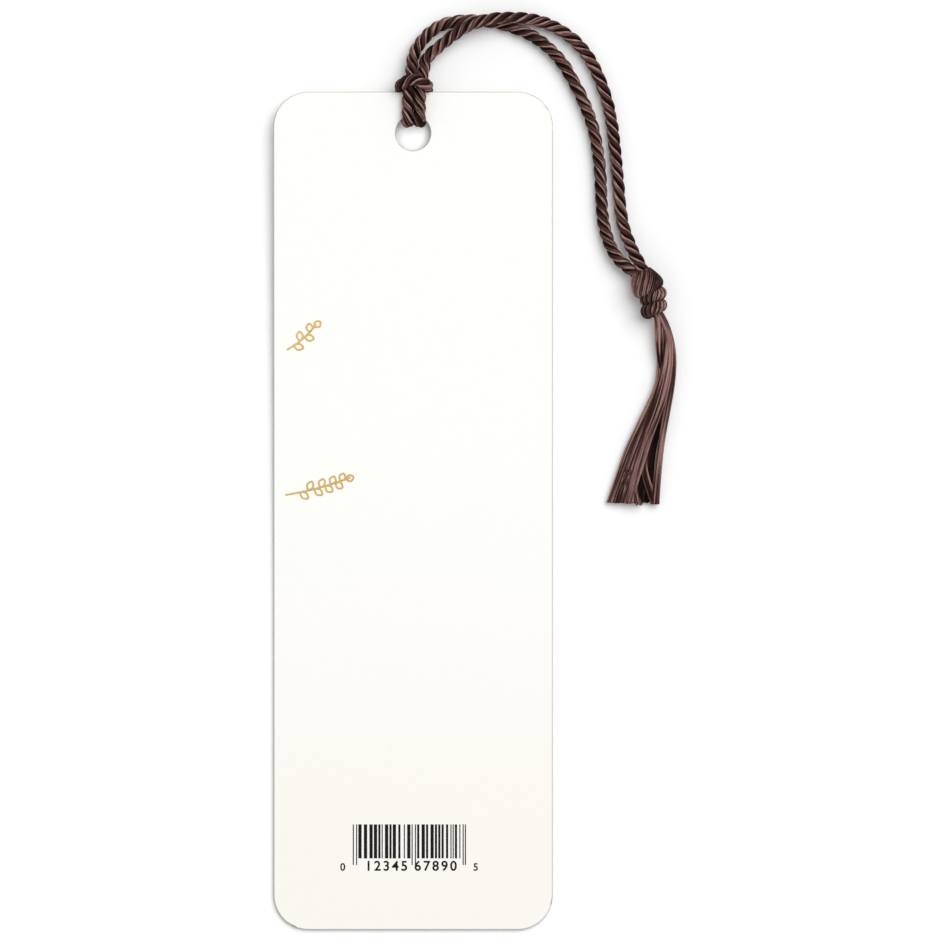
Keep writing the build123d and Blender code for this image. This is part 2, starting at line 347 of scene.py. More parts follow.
def wobble(place, key, scale):
    """A slow random vector about zero that differs from strand to strand."""
    return noise(place, scale, key, 1.0, "Color") - (0.5, 0.5, 0.5)


def strand_key(index, seed):
    """A strand's own key for its noise."""
    return (index + seed) * 1.31


def xyz(tree, x=0.0, y=0.0, z=0.0):
    """A vector of three numbers."""
    return output(tree, "ShaderNodeCombineXYZ", {0: x, 1: y, 2: z})


def part(place, axis):
    """One of a vector's three numbers."""
    return output(place.tree, "ShaderNodeSeparateXYZ", {0: place}, axis)


def above_table(spot, radius):
    """A place that is lifted where it would lie under the table."""
    return xyz(spot.tree, part(spot, "X"), part(spot, "Y"), part(spot, "Z").calc("MAXIMUM", radius))


def named(tree, label):
    """A number stored on the geometry under a name."""
    return output(tree, "GeometryNodeInputNamedAttribute", {"Name": label}, "Attribute", data_type="FLOAT")


def stored(geometry, label, value):
    """Geometry with a number stored on its points."""
    inputs = {0: geometry, "Name": label, "Value": value}
    options = {"data_type": "FLOAT", "domain": "POINT"}
    return output(geometry.tree, "GeometryNodeStoreNamedAttribute", inputs, **options)


def moved(geometry, place):
    """Geometry with its points moved to a place."""
    return output(geometry.tree, "GeometryNodeSetPosition", {0: geometry, "Position": place})


def repeated(line, amount):
    """Copies of each line, and the number of each copy."""
    inputs = {0: line, "Amount": amount}
    copies = fields(add_node(line.tree, "GeometryNodeDuplicateElements", inputs, domain="SPLINE"))
    return copies["Geometry"], copies["Duplicate Index"]


def strands_to_mesh(curve, radius, sides):
    """Round strands along curves, closed at both ends and shaded smooth."""
    tree = curve.tree
    profile = output(tree, "GeometryNodeCurvePrimitiveCircle", {"Resolution": sides, "Radius": radius})
    inputs = {"Curve": curve, "Profile Curve": profile, "Fill Caps": True}
    return output(tree, "GeometryNodeSetShadeSmooth", {0: output(tree, "GeometryNodeCurveToMesh", inputs)})


def geometry_tree(name, **kinds):
    """A new geometry node tree with named inputs of several kinds, and the fields that they bring."""
    tree = bpy.data.node_groups.new(name, "GeometryNodeTree")
    for kind, labels in {"Geometry": ["Geometry"], **kinds, "Material": ["Material"]}.items():
        for label in labels:
            tree.interface.new_socket(label, in_out="INPUT", socket_type=f"NodeSocket{kind}")
    tree.interface.new_socket("Geometry", in_out="OUTPUT", socket_type="NodeSocketGeometry")
    return tree, fields(tree.nodes.new("NodeGroupInput"))


def end_tree(geometry, material):
    """Close a tree: real geometry with its material."""
    real = output(geometry.tree, "GeometryNodeRealizeInstances", {0: geometry})
    dressed = output(geometry.tree, "GeometryNodeSetMaterial", {0: real, "Material": material})
    add_node(geometry.tree, "NodeGroupOutput", {0: dressed})
    return geometry.tree


def cord_tree():
    """Twisted cord: plies round a line, each of them a ring of floss strands."""
    tree, given = geometry_tree(
        "Twisted Cord", Int=["Plies", "Floss per Ply", "Seed"],
        Float=["Diameter", "Lead", "Step", "Looseness", "Painted Light", "From", "To"],
    )
    line = output(tree, "GeometryNodeMeshToCurve", {0: given["Geometry"]})
    inputs = {"Curve": line, "Length": given["Step"]}
    line = output(tree, "GeometryNodeResampleCurve", inputs, mode="LENGTH")

    # Turns of the twist up to each point, at a pace that is never quite even
    place = output(tree, "GeometryNodeInputPosition")
    pace = ramp(noise(place, scale=150.0, detail=0.0), 0.3, 0.7, 0.85, 1.18)
    share = given["Step"] / given["Lead"] * pace
    wound = output(tree, "GeometryNodeAccumulateField", {0: share}, "Trailing", data_type="FLOAT")
    copies, index = repeated(stored(line, "turns", wound), given["Plies"] * given["Floss per Ply"])
    ply = ((index + 0.01) / given["Floss per Ply"]).calc("FLOOR")
    strand = index.calc("MODULO", given["Floss per Ply"])

    # Sizes of a ply, a wedge in section, and of the strands round it
    crowding, wedge_share, counter_turn = 1.9, 0.8, 0.2
    radius = given["Diameter"] * 0.5
    floss_radius = radius * crowding / given["Floss per Ply"]
    rim = radius - floss_radius
    half_wedge = wedge_share * tau / 2 / given["Plies"]

    # Turn of the ply about the cord, and of the strand about the ply the other way
    turns = named(tree, "turns")
    ply_angle = (ply / given["Plies"] - turns) * tau
    strand_angle = (strand / given["Floss per Ply"] + turns * counter_turn) * tau
    normal = output(tree, "GeometryNodeInputNormal")
    binormal = output(tree, "GeometryNodeInputTangent").calc("CROSS_PRODUCT", normal)
    bend = ply_angle + half_wedge * strand_angle.calc("SINE")
    outward = normal * bend.calc("COSINE") + binormal * bend.calc("SINE")
    crest = strand_angle.calc("COSINE") * 0.5 + 0.5

    # Small slackness: plies wander together, strands a little by themselves
    slack = wobble(place, ply * 3.7 + given["Seed"], scale=260.0) * given["Looseness"]
    own_key = strand_key(index, given["Seed"])
    fray = wobble(place, own_key, scale=700.0) * (given["Looseness"] * 0.7)
    spot = place + outward * (rim * crest) + slack + fray
    curve = moved(copies, above_table(spot, floss_radius))

    # Tone: strands differ at random; painted shade darkens the grooves between plies, leaving the plies'
    # backs lighter, and a painted highlight lightens a line along one flank of each ply, both scaled by the
    # given strength
    luck = chance(-0.2, 0.42, index, given["Seed"])
    painted_groove_shade = ramp((strand_angle + 0.4).calc("COSINE"), -0.1, 0.95, -0.9, 0.02)
    mottle = noise(place, scale=650.0, key=own_key)
    shine = ramp((strand_angle + 0.85).calc("COSINE"), 0.93, 1.0, 0.0, 1.4) * mottle
    tone = luck + mottle * 0.65 + (painted_groove_shade + shine) * given["Painted Light"]
    curve = stored(curve, "tone", tone)
    girth = chance(0.85, 1.2, index, given["Seed"] + 7)
    curve = output(tree, "GeometryNodeSetCurveRadius", {0: curve, "Radius": girth})
    inputs = {0: curve, 2: given["From"], 3: given["To"]}
    cut = output(tree, "GeometryNodeTrimCurve", inputs, mode="FACTOR")
    return end_tree(strands_to_mesh(cut, floss_radius, sides=6), given["Material"])


def wrapped_tree():
    """Floss laid down a meridian and repeated round an axis, with a lean."""
    tree, given = geometry_tree(
        "Wrapped Floss", Int=["Strands", "Seed"], Float=["Diameter", "Lean", "Looseness"],
        Vector=["Centre", "Axis", "Glow"],
    )
    line = output(tree, "GeometryNodeMeshToCurve", {0: given["Geometry"]})
    copies, index = repeated(line, given["Strands"])
    run = output(tree, "GeometryNodeSplineParameter", out="Length")
    place = output(tree, "GeometryNodeInputPosition")
    spread = index + chance(-0.6, 0.6, index, given["Seed"])
    angle = spread / given["Strands"] * tau + run * given["Lean"]
    inputs = {"Vector": place, "Center": given["Centre"], "Axis": given["Axis"], "Angle": angle}
    turned = output(tree, "ShaderNodeVectorRotate", inputs, rotation_type="AXIS_ANGLE")
    own_key = strand_key(index, given["Seed"])
    fray = wobble(turned, own_key, scale=380.0) * given["Looseness"]
    radius = given["Diameter"] * 0.5
    curve = moved(copies, above_table(turned + fray, radius))

    # Tone: strands differ at random, and a painted highlight makes them paler on the side that the Glow
    # vector points to
    luck = chance(0.0, 1.0, index, given["Seed"] + 3)
    glow = (place - given["Centre"]).measure("DOT_PRODUCT", given["Glow"]).calc("MAXIMUM", -0.4)
    mottle = noise(turned, scale=300.0, key=own_key)
    tone = luck * 1.1 + mottle * 0.85 - 0.62 + glow
    curve = stored(curve, "tone", tone)
    return end_tree(strands_to_mesh(curve, radius, sides=5), given["Material"])


def combed_tree():
    """Combed floss: strands that follow bundles' lines within each bundle's width and thickness."""
    tree, given = geometry_tree(
        "Combed Floss", Int=["Points", "Seed"], Float=["Diameter", "Waviness", "Uneven Ends"],
    )
    line = output(tree, "GeometryNodeMeshToCurve", {0: given["Geometry"]})
    inputs = {"Curve": line, "Count": given["Points"]}
    line = output(tree, "GeometryNodeResampleCurve", inputs, mode="COUNT")

    # No two bundles share a strand's number
    copies, copy = repeated(line, named(tree, "strands"))
    index = copy + named(tree, "bundle") * 500.0
    share = output(tree, "GeometryNodeSplineParameter", out="Factor")
    place = output(tree, "GeometryNodeInputPosition")
    tangent = output(tree, "GeometryNodeInputTangent")
    side = tangent.calc("CROSS_PRODUCT", (0.0, 0.0, 1.0)).calc("NORMALIZE")

    # Place in the bundle's section, even over an ellipse
    angle = chance(0.0, tau, index, given["Seed"])
    spread = chance(0.0, 1.0, index, given["Seed"] + 1).calc("SQRT")
    across = spread * angle.calc("COSINE") * (named(tree, "width") * 0.5)
    lift = spread * angle.calc("SINE") * (named(tree, "thickness") * 0.5)

    # Waves along the strand
    own_key = strand_key(index, given["Seed"])
    waves = wobble(place, own_key, scale=110.0) * (given["Waviness"] * share)
    spot = place + side * across + xyz(tree, z=lift) + waves

    # Strands slide along themselves so that all of a bundle end on one level, a little unevenly
    uneven = chance(-1.0, 1.0, index, given["Seed"] + 2) * given["Uneven Ends"]
    short = named(tree, "foot") + uneven - part(spot, "Y")
    slide = short * ramp(share, 0.85, 1.0) / part(tangent, "Y").calc("MINIMUM", -0.4)
    radius = given["Diameter"] * 0.5
    curve = moved(copies, above_table(spot + tangent * slide, radius))

    # Streaks: neighbours in a bundle share a tone that changes slowly along them
    luck = chance(0.0, 1.0, index, given["Seed"] + 3)
    spots = xyz(tree, across * 3200.0, lift * 2000.0, share * 2.5 + named(tree, "bundle") * 9.7)
    streak = ramp(noise(spots, scale=1.0, detail=1.0), 0.36, 0.64, -0.2, 0.6)
    # The bundle's own tone adds in, which for the darkest bundle is painted shade, and a painted highlight
    # makes the upper skirt by the knot paler
    tone = luck * 0.45 + streak + named(tree, "shade") + ramp(share, 0.2, 0.6, 0.32, 0.0)
    curve = stored(curve, "tone", tone)
    return end_tree(strands_to_mesh(curve, radius, sides=4), given["Material"])


def bars_tree():
    """Bars of chance widths side by side, each a thin raised film of ink."""
    tree, given = geometry_tree(
        "Ink Bars", Int=["Bars", "Seed"], Float=["Width", "Height", "Guard Drop", "Film"], Vector=["Corner"],
    )
    points = output(tree, "GeometryNodeMeshLine", {"Count": given["Bars"], "Offset": (0.0, 0.0, 0.0)})
    index = output(tree, "GeometryNodeInputIndex")

    # The two bars at each end and in the middle are narrow and run further down
    last = given["Bars"] - 1.0
    to_side = index.calc("MINIMUM", last - index)
    to_middle = (index - last * 0.5).calc("ABSOLUTE")
    guard = to_side.calc("MINIMUM", to_middle).calc("LESS_THAN", 1.1)
    wide = chance(0.6, 3.4, index, given["Seed"]).calc("ROUND").calc("MINIMUM", guard * -3.0 + 4.0)
    gap = chance(0.6, 2.6, index, given["Seed"] + 1).calc("ROUND")
    taken = add_node(tree, "GeometryNodeAccumulateField", {0: wide + gap}, data_type="FLOAT").outputs
    module = given["Width"] / Field(taken["Total"])
    across = (Field(taken["Trailing"]) + wide * 0.5) * module
    drop = guard * given["Guard Drop"]
    spot = xyz(tree, across, (given["Height"] - drop) * 0.5) + given["Corner"]
    bar = output(tree, "GeometryNodeMeshCube", {"Size": (1.0, 1.0, 1.0)})
    size = xyz(tree, wide * module, given["Height"] + drop, given["Film"])
    inputs = {"Points": moved(points, spot), "Instance": bar, "Scale": size}
    return end_tree(output(tree, "GeometryNodeInstanceOnPoints", inputs), given["Material"])


def strokes_tree():
    """Pen strokes along lines: flat ribbons of ink that thin out at both ends."""
    tree, given = geometry_tree("Pen Strokes", Float=["Width", "Film"])
    line = output(tree, "GeometryNodeMeshToCurve", {0: given["Geometry"]})
    share = output(tree, "GeometryNodeSplineParameter", out="Factor")
    swell = (share * (tau / 2)).calc("SINE").calc("POWER", 0.4)
    line = output(tree, "GeometryNodeSetCurveRadius", {0: line, "Radius": swell * 0.65 + 0.35})
    ribbon = strands_to_mesh(line, given["Width"] * 0.5, sides=8)
    squeeze = xyz(tree, 1.0, 1.0, given["Film"] / given["Width"])
    ribbon = moved(ribbon, output(tree, "GeometryNodeInputPosition") * squeeze)
    return end_tree(ribbon, given["Material"])


def shader_group(name, inputs, outputs):
    """A new shader node group with named inputs and outputs, and the fields that it is given."""
    tree = bpy.data.node_groups.new(name, "ShaderNodeTree")
    for way, sockets in {"INPUT": inputs, "OUTPUT": outputs}.items():
        for label, kind in sockets.items():
            tree.interface.new_socket(label, in_out=way, socket_type=f"NodeSocket{kind}")
    return tree, fields(tree.nodes.new("NodeGroupInput"))


def blended(factor, first, second):
    """One colour changing into another."""
    return output(factor.tree, "ShaderNodeMix", {0: factor, 6: first, 7: second}, 2, data_type="RGBA")


def floss_tone_group():
    """Colour and gloss of a strand of floss by its tone."""
    tree, given = shader_group(
        "Floss Tone",
        {"Tone": "Float", "Dark": "Color", "Middle": "Color", "Light": "Color", "Place": "Vector"},
        {"Color": "Color", "Roughness": "Float", "Height": "Float"},
    )
    fibres = noise(given["Place"], scale=5200.0)
    tone = given["Tone"] + (fibres - 0.5) * 0.35
    low = blended(ramp(tone, 0.0, 0.55), given["Dark"], given["Middle"])
    colour = blended(ramp(tone, 0.5, 1.1), low, given["Light"])

    # Dye that took a little unevenly, redder in some places and more orange in others
    hue = ramp(noise(given["Place"], scale=420.0), 0.35, 0.65, 0.49, 0.508)
    colour = output(tree, "ShaderNodeHueSaturation", {"Color": colour, "Hue": hue})
    roughness = ramp(tone, 0.0, 1.0, 0.5, 0.34)
    add_node(tree, "NodeGroupOutput", {"Color": colour, "Roughness": roughness, "Height": fibres})
    return tree


def grain_group():
    """Fine grain of a printed sheet: a mask about one half, and its height."""
    tree, given = shader_group(
        "Sheet Grain", {"Place": "Vector", "Scale": "Float"}, {"Mask": "Float", "Height": "Float"},
    )
    fine = noise(given["Place"], given["Scale"], detail=4.0)
    coarse = noise(given["Place"], given["Scale"] * 0.06)
    add_node(tree, "NodeGroupOutput", {"Mask": (fine + coarse) * 0.5, "Height": fine})
    return tree


def shared(name, make):
    """A node tree made once and used again."""
    return bpy.data.node_groups.get(name) or make()


def grouped(tree, name, make, inputs):
    """The outputs of a shader node group that is placed in a material."""
    return fields(add_node(tree, "ShaderNodeGroup", inputs, node_tree=shared(name, make)))


def new_material(name):
    """A material, its nodes, its Principled BSDF, and the place on the object that is shaded."""
    material = bpy.data.materials.new(name)
    material.use_nodes = True
    tree = material.node_tree
    place = output(tree, "ShaderNodeTexCoord", out="Object")
    return material, tree, tree.nodes["Principled BSDF"], place


def bumped(height, strength, distance):
    """A normal that follows a fine relief, with its distance in millimetres."""
    inputs = {"Height": height, "Strength": strength, "Distance": distance * MM}
    return output(height.tree, "ShaderNodeBump", inputs)


def floss_material(name, bump):
    """Shiny rayon floss: tone from the strand, with fine fibres."""
    found = bpy.data.materials.get(name)
    if found:
        return found
    colours = bpy.context.scene.bookmark_cord
    material, tree, shader, place = new_material(name)
    look = grouped(tree, "Floss Tone", floss_tone_group, {
        "Tone": output(tree, "ShaderNodeAttribute", out="Fac", attribute_name="tone"),
        "Dark": colours.dark_colour, "Middle": colours.mid_colour, "Light": colours.light_colour,
        "Place": place,
    })
    set_inputs(shader, {
        "Base Color": look["Color"],
        "Roughness": look["Roughness"],
        "Normal": bumped(look["Height"], bump, distance=0.02),
        "Specular IOR Level": 0.09,
        "Specular Tint": (1.0, 0.74, 0.66, 1.0),
    })
    return material


def paper_material():
    """Coated card: warm white, faintly grained, with painted shade that makes it darker and warmer to the
    foot, and a grey cut edge that is partly the bare card and partly painted shade.
    """
    colours = bpy.context.scene.bookmark_card
    material, tree, shader, place = new_material("coated_card")
    grain = grouped(tree, "Sheet Grain", grain_group, {"Place": place, "Scale": 9000.0})
    # Painted shade: the face darkens and warms towards the foot, as where less light falls
    falloff_from, falloff_to = 20.0 * MM, -70.0 * MM
    painted_falloff = ramp(part(place, "Y"), falloff_from, falloff_to)
    face = blended(painted_falloff, colours.paper_colour, colours.shaded_foot_colour)
    # The cut edge and its rounded rim are grey, partly the bare card and partly painted shade that outlines
    # the card
    normal = output(tree, "ShaderNodeNewGeometry", out="True Normal")
    edge = ramp(part(normal, "Z").calc("ABSOLUTE"), 0.985, 0.9)
    body = blended(edge, face, colours.edge_colour)
    speckle = ramp(grain["Mask"], 0.3, 0.7, 0.985, 1.0)
    set_inputs(shader, {
        "Base Color": output(tree, "ShaderNodeHueSaturation", {"Color": body, "Value": speckle}),
        "Roughness": ramp(grain["Mask"], 0.3, 0.7, 0.46, 0.58),
        "Normal": bumped(grain["Height"], strength=0.08, distance=0.01),
        "Specular IOR Level": 0.35,
    })
    return material


def ink_material(name, colour, roughness, shine):
    """Printed ink that covers the sheet's grain a little unevenly."""
    material, tree, shader, place = new_material(name)
    grain = grouped(tree, "Sheet Grain", grain_group, {"Place": place, "Scale": 5000.0})
    thin = ramp(grain["Mask"], 0.35, 0.65, 0.85, 1.1)
    set_inputs(shader, {
        "Base Color": output(tree, "ShaderNodeHueSaturation", {"Color": colour, "Value": thin}),
        "Roughness": ramp(grain["Mask"], 0.3, 0.7, roughness, roughness + 0.15),
        "Specular IOR Level": shine,
    })
    return material


def placed(name, data):
    """A new object in the scene."""
    thing = bpy.data.objects.new(name, data)
    bpy.context.scene.collection.objects.link(thing)
    return thing


def as_mesh(thing):
    """The plain mesh that an object comes to."""
    return bpy.data.meshes.new_from_object(thing.evaluated_get(bpy.context.evaluated_depsgraph_get()))


def smooth(route):
    """Points of the smooth line that a route's points steer, close together."""
    curve = bpy.data.curves.new("route", "CURVE")
    curve.dimensions = "3D"
    curve.resolution_u = 16
    spline = curve.splines.new("NURBS")
    spline.points.add(len(route) - 1)
    for point, place in zip(spline.points, route):
        point.co = (*place, 1.0)
    spline.order_u = 3
    spline.use_endpoint_u = True
    steering = placed("route", curve)
    drawn = as_mesh(steering)
    places = [vertex.co.copy() for vertex in drawn.vertices]
    bpy.data.objects.remove(steering)
    bpy.data.meshes.remove(drawn)
    return places


def lines_mesh(lines):
    """A mesh of open lines, each given by its points."""
    places, edges = [], []
    for line in lines:
        first = len(places)
        places += line
        edges += [(first + step, first + step + 1) for step in range(len(line) - 1)]
    mesh = bpy.data.meshes.new("lines")
    mesh.from_pydata(places, edges, [])
    return mesh


def grown(name, tree, mesh, values):
    """A finished piece: the mesh run through a geometry tree, as a plain mesh at the origin."""
    source = placed("source", mesh)
    modifier = source.modifiers.new("shape", "NODES")
    modifier.node_group = tree
    for socket in tree.interface.items_tree:
        if socket.in_out == "INPUT" and socket.name in values:
            modifier[socket.identifier] = values[socket.name]
    finished = as_mesh(source)
    finished.name = name
    bpy.data.objects.remove(source)
    return placed(name, finished)


def twisted(name, line, values):
    """A finished piece of twisted cord along a line."""
    common = {
        "Plies": PLIES, "Floss per Ply": bpy.context.scene.bookmark_cord.floss_per_ply,
        "Material": floss_material("cord_rayon", CORD_BUMP),
    }
    return grown(name, shared("Twisted Cord", cord_tree), lines_mesh([line]), {**common, **values})


def from_edge(across, along, height):
    """A place from the middle of the top edge, in metres."""
    return Vector((across, TOP_EDGE + along, height)) * MM


def from_head(across, along, height):
    """A place from the middle of the top edge in the tilted head of the card, in metres."""
    away = along * cos(HEAD_TILT) - height * sin(HEAD_TILT)
    up = along * sin(HEAD_TILT) + height * cos(HEAD_TILT)
    return from_edge(across, away, HEAD_UNDERSIDE + up)


def hitch_half(side):
    """Points of one side of the hitch, from beside its exit to the bight."""
    return [
        from_head(HITCH_MIDDLES[run] + side * HITCH_SIDES[run], along, height)
        for run, along, height in HITCH_RUN
    ]


def nearest(line, place):
    """Number of the point of a line that lies nearest to a place."""
    return min(range(len(line)), key=lambda number: (line[number] - place).length)


def run_length(line):
    """Length along a line's points."""
    return sum((after - before).length for before, after in zip(line, line[1:]))


def knot_place(along, across):
    """A place in the knot, down its axis and across it, in metres."""
    x = KNOT_TOP[0] + along * sin(KNOT_LEAN) + across * cos(KNOT_LEAN)
    y = KNOT_TOP[1] - along * cos(KNOT_LEAN) + across * sin(KNOT_LEAN)
    return from_edge(x, y, KNOT_TOP[2])


def axis_and_side(lean):
    """The way down an axis that leans to the right in the picture, and the way across it."""
    return Vector((sin(lean), -cos(lean), 0.0)), Vector((cos(lean), sin(lean), 0.0))


def laid_on_card(piece, lift):
    """Bring a flat print down to the card's upper face, wherever the card is bowed."""
    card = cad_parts["card"]
    surface = BVHTree.FromPolygons(
        [vertex.co for vertex in card.data.vertices], [face.vertices for face in card.data.polygons],
    )
    well_above = 100.0 * MM
    for vertex in piece.data.vertices:
        over = Vector((vertex.co.x, vertex.co.y, well_above))
        hit = surface.ray_cast(over, Vector((0.0, 0.0, -1.0)))[0]
        vertex.co.z += hit.z + lift


class BOOKMARK_OT_stage(Operator):
    """Set the pale floor, the studio light and the camera over the table"""
    bl_idname = "bookmark.stage"
    bl_label = "Stage"

    # Floor: its reach and how far under the table's level it lies, in metres
    floor_reach, floor_drop = 3.0, 0.0004
    floor_colour = (0.96, 0.96, 0.96, 1.0)

    # Glow of the floor for the eye: near, far, and under the hole as painted light, and where near ends and
    # far begins
    near_glow, far_glow, hole_glow = 0.02, 0.6, 0.36
    near, far = 0.2, 2.0

    # Under the hole the painted light is even out to the first of these, and gone at the second
    clear_radius, dark_radius = 0.45 * HOLE_RADIUS * MM, 1.1 * HOLE_RADIUS * MM

    def execute(self, context):
        settings = context.scene.bookmark_stage
        context.scene.view_settings.view_transform = "Standard"
        self.make_world(context)
        self.make_floor()
        light = bpy.data.lights.new("key_light", "AREA")
        light.shape = "DISK"
        light.size = settings.key_size
        light.energy = settings.key_power
        lamp = placed("key_light", light)
        lamp.location = settings.key_place
        lamp.rotation_euler = Vector(settings.key_place).to_track_quat("Z", "Y").to_euler()
        camera = bpy.data.cameras.new("camera")
        camera.lens = settings.lens
        camera.sensor_width = 36.0
        viewer = placed("camera", camera)
        distance = settings.view_width * settings.lens / camera.sensor_width
        viewer.location = (*settings.view_middle, distance)
        context.scene.camera = viewer
        return {"FINISHED"}

    def seen(self, tree):
        """One where the eye, a reflection or a clear view meets the surface, else zero."""
        path = fields(tree.nodes.new("ShaderNodeLightPath"))
        straight = path["Is Camera Ray"].calc("MAXIMUM", path["Is Glossy Ray"])
        return straight.calc("MAXIMUM", path["Is Transmission Ray"])

    def make_world(self, context):
        sky = context.scene.bookmark_stage.sky
        world = bpy.data.worlds.new("studio")
        world.use_nodes = True
        strength = self.seen(world.node_tree) * (1.0 - sky) + sky
        set_inputs(world.node_tree.nodes["Background"], {"Color": WHITE, "Strength": strength})
        context.scene.world = world

    def make_floor(self):
        mesh = bpy.data.meshes.new("floor")
        corners = [(-1, -1), (1, -1), (1, 1), (-1, 1)]
        reach = self.floor_reach
        mesh.from_pydata([(x * reach, y * reach, -self.floor_drop) for x, y in corners], [], [(0, 1, 2, 3)])
        floor = placed("floor", mesh)
        material, tree, shader, place = new_material("white_floor")
        glow = ramp(place.measure("LENGTH"), self.near, self.far, self.near_glow, self.far_glow)

        # Painted light: the floor under the hole glows white, lifting the shadow of the card's raised head,
        # and fades towards the hole's rim
        off = (place - from_edge(0.0, -HOLE_INSET, 0.0)).measure("LENGTH")
        painted_light_under_hole = ramp(off, self.clear_radius, self.dark_radius, self.hole_glow, 0.0)
        set_inputs(shader, {
            "Base Color": self.floor_colour,
            "Roughness": 0.9,
            "Specular IOR Level": 0.0,
            "Emission Color": WHITE,
            "Emission Strength": self.seen(tree) * (glow + painted_light_under_hole),
        })
        mesh.materials.append(material)


class BOOKMARK_OT_card(Operator):
    """Finish the card in coated paper"""
    bl_idname = "bookmark.card"
    bl_label = "Card"

    # Points this near are one point, and edges this sharp are worn round or stay creases
    same_point = 0.001 * MM
    worn_angle = radians(50)
    crease_angle = radians(8)

    def execute(self, context):
        settings = context.scene.bookmark_card
        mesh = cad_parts["card"].data.copy()
        merged = bmesh.new()
        merged.from_mesh(mesh)
        bmesh.ops.remove_doubles(merged, verts=merged.verts, dist=self.same_point)
        merged.to_mesh(mesh)
        merged.free()
        sheet = placed("card_sheet", mesh)
        worn = sheet.modifiers.new("worn edge", "BEVEL")
        worn.width = settings.edge_round
        worn.segments = 2
        worn.limit_method = "ANGLE"
        worn.angle_limit = self.worn_angle
        worn.use_clamp_overlap = False
        finished = as_mesh(sheet)
        sheet.modifiers.clear()
        sheet.data = finished
        finished.shade_smooth()
        finished.set_sharp_from_angle(angle=self.crease_angle)
        finished.materials.clear()
        finished.materials.append(paper_material())
        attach(sheet, "card")
        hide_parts("card")
        return {"FINISHED"}


class BOOKMARK_OT_print(Operator):
    """Print the bars, the digits and the two gold sprigs on the card"""
    bl_idname = "bookmark.print"
    bl_label = "Print"

    # Bars: left, foot, width and height, with the digits' line and size under them
    bars_left, bars_foot = -11.0, -63.2
    bars_width, bars_height = 21.0, 6.2
    guard_drop = 1.2
    digits = [("0", -13.3, 1.9), ("12345", -8.75, 2.5), ("67890", 0.2, 2.5), ("5", 10.9, 1.9)]
    digits_line = -65.4
    digits_spacing = 1.3
    digits_weight = 0.022

    # Sprigs: where the stem starts, how far it runs, and its leaves
    sprigs = [((-23.0, 29.3), (5.4, 4.6), 5), ((-23.3, 2.9), (11.9, 3.2), 9)]
    stem_shares = (0.0, 0.3, 0.6, 0.85, 1.0)
    stem_bend = 0.45
    first_leaf, leaf_span = 0.14, 0.78
    leaf_belly, leaf_neck, neck_width = 0.35, 0.75, 0.8
    leaf_taper = 0.25
    leaf_lean = radians(52)
    leaf_length = 1.9
    leaf_width = 0.62
    pen_width = 0.36

    def execute(self, context):
        settings = context.scene.bookmark_print
        black = ink_material("black_ink", settings.ink_colour, roughness=0.5, shine=0.1)
        gold = ink_material("gold_ink", settings.gold_colour, roughness=0.35, shine=0.5)
        self.finish(self.make_bars(settings, black), settings)
        for number, (text, left, size) in enumerate(self.digits, start=1):
            self.finish(self.make_digits(f"digits_{number}", text, left, size, black), settings)
        for number, sprig in enumerate(self.sprigs, start=1):
            values = {"Width": self.pen_width * MM, "Film": 2 * settings.film, "Material": gold}
            mesh = lines_mesh(self.sprig_lines(*sprig))
            piece = grown(f"gold_sprig_{number}", shared("Pen Strokes", strokes_tree), mesh, values)
            self.finish(piece, settings)
        return {"FINISHED"}

    def finish(self, piece, settings):
        laid_on_card(piece, settings.film / 2)
        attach(piece, "card")

    def make_bars(self, settings, ink):
        values = {
            "Bars": settings.bars, "Width": self.bars_width * MM, "Height": self.bars_height * MM,
            "Film": settings.film, "Corner": (self.bars_left * MM, self.bars_foot * MM, 0.0),
            "Guard Drop": self.guard_drop * MM, "Seed": settings.bar_seed, "Material": ink,
        }
        return grown("ink_bars", shared("Ink Bars", bars_tree), lines_mesh([]), values)

    def make_digits(self, name, text, left, size, ink):
        words = bpy.data.curves.new(name, "FONT")
        words.body = text
        words.size = size
        words.space_character = self.digits_spacing
        words.offset = self.digits_weight * size
        typed = placed("typed", words)
        mesh = as_mesh(typed)
        bpy.data.objects.remove(typed)
        for vertex in mesh.vertices:
            vertex.co = Vector((vertex.co.x + left, vertex.co.y + self.digits_line, 0.0)) * MM
        mesh.materials.append(ink)
        return placed(name, mesh)

    def sprig_lines(self, start, reach, leaves):
        """Stem and leaves of a sprig: a slow curve with pointed loops to both sides."""
        stem = []
        for share in self.stem_shares:
            rise = (1.0 - self.stem_bend) * share + self.stem_bend * share**2
            stem.append(Vector((start[0] + reach[0] * share, start[1] + reach[1] * rise, 0.0)))
        stem = smooth(stem)
        ahead = (stem[-1] - stem[0]).normalized()
        lines = [stem]
        for number in range(leaves):
            share = self.first_leaf + self.leaf_span * number / (leaves - 1)
            root = stem[round(share * (len(stem) - 1))]
            lean = self.leaf_lean if number % 2 else -self.leaf_lean
            if number == leaves - 1:
                lean = 0.0
            x = ahead.x * cos(lean) - ahead.y * sin(lean)
            y = ahead.x * sin(lean) + ahead.y * cos(lean)
            wide = Vector((-y, x, 0)) * self.leaf_width
            long = Vector((x, y, 0)) * self.leaf_length * (1.0 - self.leaf_taper * number / leaves)
            for out in (wide, -wide):
                belly = root + long * self.leaf_belly + out
                neck = root + long * self.leaf_neck + out * self.neck_width
                lines.append(smooth([root, belly, neck, root + long]))
        return [[place * MM for place in line] for line in lines]


